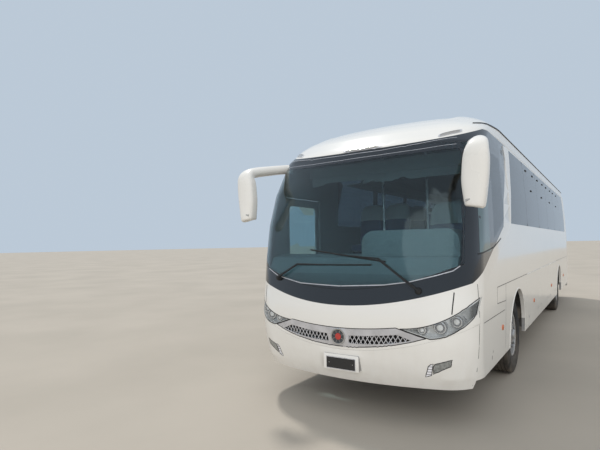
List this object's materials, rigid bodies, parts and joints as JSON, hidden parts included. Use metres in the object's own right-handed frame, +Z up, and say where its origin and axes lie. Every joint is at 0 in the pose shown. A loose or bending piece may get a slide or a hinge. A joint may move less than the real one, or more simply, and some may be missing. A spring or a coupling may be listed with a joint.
{
  "type": "charter bus",
  "caption": "Long-distance coach with a raked windscreen, flush side glazing, lifting luggage doors, a swinging entrance door and steered front wheels.",
  "frame": {"origin": "on the ground, midway between nose and tail, on the centre line", "axes": "+Z up, the nose faces -Y, the driver's side is +X"},
  "size_m": [2.949, 12.3, 3.6299],
  "materials": {
    "body_paint": "white gloss paint",
    "screen_glass": "lightly tinted laminated glass",
    "side_glass": "dark tinted bonded glass",
    "lamp_glass": "clear lamp lens",
    "tail_lens": "red lens",
    "bright_trim": "satin chrome",
    "frame_paint": "black chassis paint",
    "bay_panel": "grey painted sheet",
    "floor_panel": "grey floor covering",
    "black_plastic": "black liner",
    "engine_iron": "grey paint",
    "dark_trim": "dark grey moulding",
    "seat_fabric": "blue woven fabric",
    "light_trim": "light grey moulding",
    "white_plastic": "white gloss moulding",
    "mirror": "silvered glass",
    "bright_steel": "bare steel",
    "tyre": "black rubber",
    "wheel_silver": "silver wheel paint"
  },
  "bodies": {
    "coach": {"front_mask": "body_paint", "bumpers": "body_paint", "windscreen": "screen_glass", "headlamps": "lamp_glass", "grille": "bright_trim", "roof_shell": "body_paint", "left_side_wall": "body_paint", "right_side_wall": "body_paint", "windows": "side_glass", "rear_wall": "body_paint", "tail_lamps": "tail_lens", "chassis_frame": "frame_paint", "luggage_bay": "bay_panel", "floors": "floor_panel", "entrance_steps": "floor_panel", "wheel_housings": "black_plastic", "axles": "frame_paint", "engine_block": "engine_iron", "dashboard": "dark_trim", "steering_wheel": "dark_trim", "seats": "seat_fabric", "luggage_racks": "light_trim", "mirrors": "white_plastic", "mirror_glasses": "mirror", "roof_ac_unit": "white_plastic"},
    "door_arm": {"door_arm": "bright_steel"},
    "entrance_door": {"entrance_door": "body_paint", "entrance_door_glass": "side_glass"},
    "engine_hatch": {"engine_hatch": "body_paint"},
    "knuckle_left": {"knuckle_left": "frame_paint"},
    "front_wheel_left": {"front_tyre_left": "tyre", "front_rim_left": "wheel_silver"},
    "rear_wheels_left": {"rear_tyres_left": "tyre", "rear_rims_left": "wheel_silver"},
    "luggage_door_left_1": {"luggage_door_left_1": "body_paint"},
    "luggage_door_left_2": {"luggage_door_left_2": "body_paint"},
    "luggage_door_left_3": {"luggage_door_left_3": "body_paint"},
    "knuckle_right": {"knuckle_right": "frame_paint"},
    "front_wheel_right": {"front_tyre_right": "tyre", "front_rim_right": "wheel_silver"},
    "rear_wheels_right": {"rear_tyres_right": "tyre", "rear_rims_right": "wheel_silver"},
    "luggage_door_right_1": {"luggage_door_right_1": "body_paint"},
    "luggage_door_right_2": {"luggage_door_right_2": "body_paint"},
    "luggage_door_right_3": {"luggage_door_right_3": "body_paint"}
  },
  "joints": [
    {"name": "steer_left", "type": "hinge", "parent": "coach", "child": "knuckle_left", "pos_m": [0.905, -3.46, 0.505], "axis": [0, 0, 1], "range_deg": [-35, 35]},
    {"name": "front_spin_left", "type": "hinge", "parent": "knuckle_left", "child": "front_wheel_left", "pos_m": [1.075, -3.46, 0.505], "axis": [1, 0, 0], "continuous": true},
    {"name": "rear_spin_left", "type": "hinge", "parent": "coach", "child": "rear_wheels_left", "pos_m": [0.91, 2.94, 0.505], "axis": [1, 0, 0], "continuous": true},
    {"name": "luggage_hinge_left_1", "type": "hinge", "parent": "coach", "child": "luggage_door_left_1", "pos_m": [1.302, -1.85333, 1.263], "axis": [0, -1, 0], "range_deg": [0, 98]},
    {"name": "luggage_hinge_left_2", "type": "hinge", "parent": "coach", "child": "luggage_door_left_2", "pos_m": [1.302, -0.26, 1.263], "axis": [0, -1, 0], "range_deg": [0, 98]},
    {"name": "luggage_hinge_left_3", "type": "hinge", "parent": "coach", "child": "luggage_door_left_3", "pos_m": [1.302, 1.33333, 1.263], "axis": [0, -1, 0], "range_deg": [0, 98]},
    {"name": "steer_right", "type": "hinge", "parent": "coach", "child": "knuckle_right", "pos_m": [-0.905, -3.46, 0.505], "axis": [0, 0, 1], "range_deg": [-35, 35]},
    {"name": "front_spin_right", "type": "hinge", "parent": "knuckle_right", "child": "front_wheel_right", "pos_m": [-1.075, -3.46, 0.505], "axis": [1, 0, 0], "continuous": true},
    {"name": "rear_spin_right", "type": "hinge", "parent": "coach", "child": "rear_wheels_right", "pos_m": [-0.91, 2.94, 0.505], "axis": [1, 0, 0], "continuous": true},
    {"name": "luggage_hinge_right_1", "type": "hinge", "parent": "coach", "child": "luggage_door_right_1", "pos_m": [-1.302, -1.85333, 1.263], "axis": [0, 1, 0], "range_deg": [0, 98]},
    {"name": "luggage_hinge_right_2", "type": "hinge", "parent": "coach", "child": "luggage_door_right_2", "pos_m": [-1.302, -0.26, 1.263], "axis": [0, 1, 0], "range_deg": [0, 98]},
    {"name": "luggage_hinge_right_3", "type": "hinge", "parent": "coach", "child": "luggage_door_right_3", "pos_m": [-1.302, 1.33333, 1.263], "axis": [0, 1, 0], "range_deg": [0, 98]},
    {"name": "door_swing", "type": "hinge", "parent": "coach", "child": "door_arm", "pos_m": [-1.195, -5.165, 0.9], "axis": [0, 0, 1], "range_deg": [0, 110]},
    {"name": "door_turn", "type": "hinge", "parent": "door_arm", "child": "entrance_door", "pos_m": [-1.195, -4.605, 0.9], "axis": [0, 0, 1], "range_deg": [-110, 0]},
    {"name": "engine_hatch_hinge", "type": "hinge", "parent": "coach", "child": "engine_hatch", "pos_m": [0, 6.1225, 1.756], "axis": [1, 0, 0], "range_deg": [0, 75]}
  ],
  "couplings": [
    {"joint": "steer_right", "follows": "steer_left", "ratio": 1},
    {"joint": "door_turn", "follows": "door_swing", "ratio": -1}
  ]
}
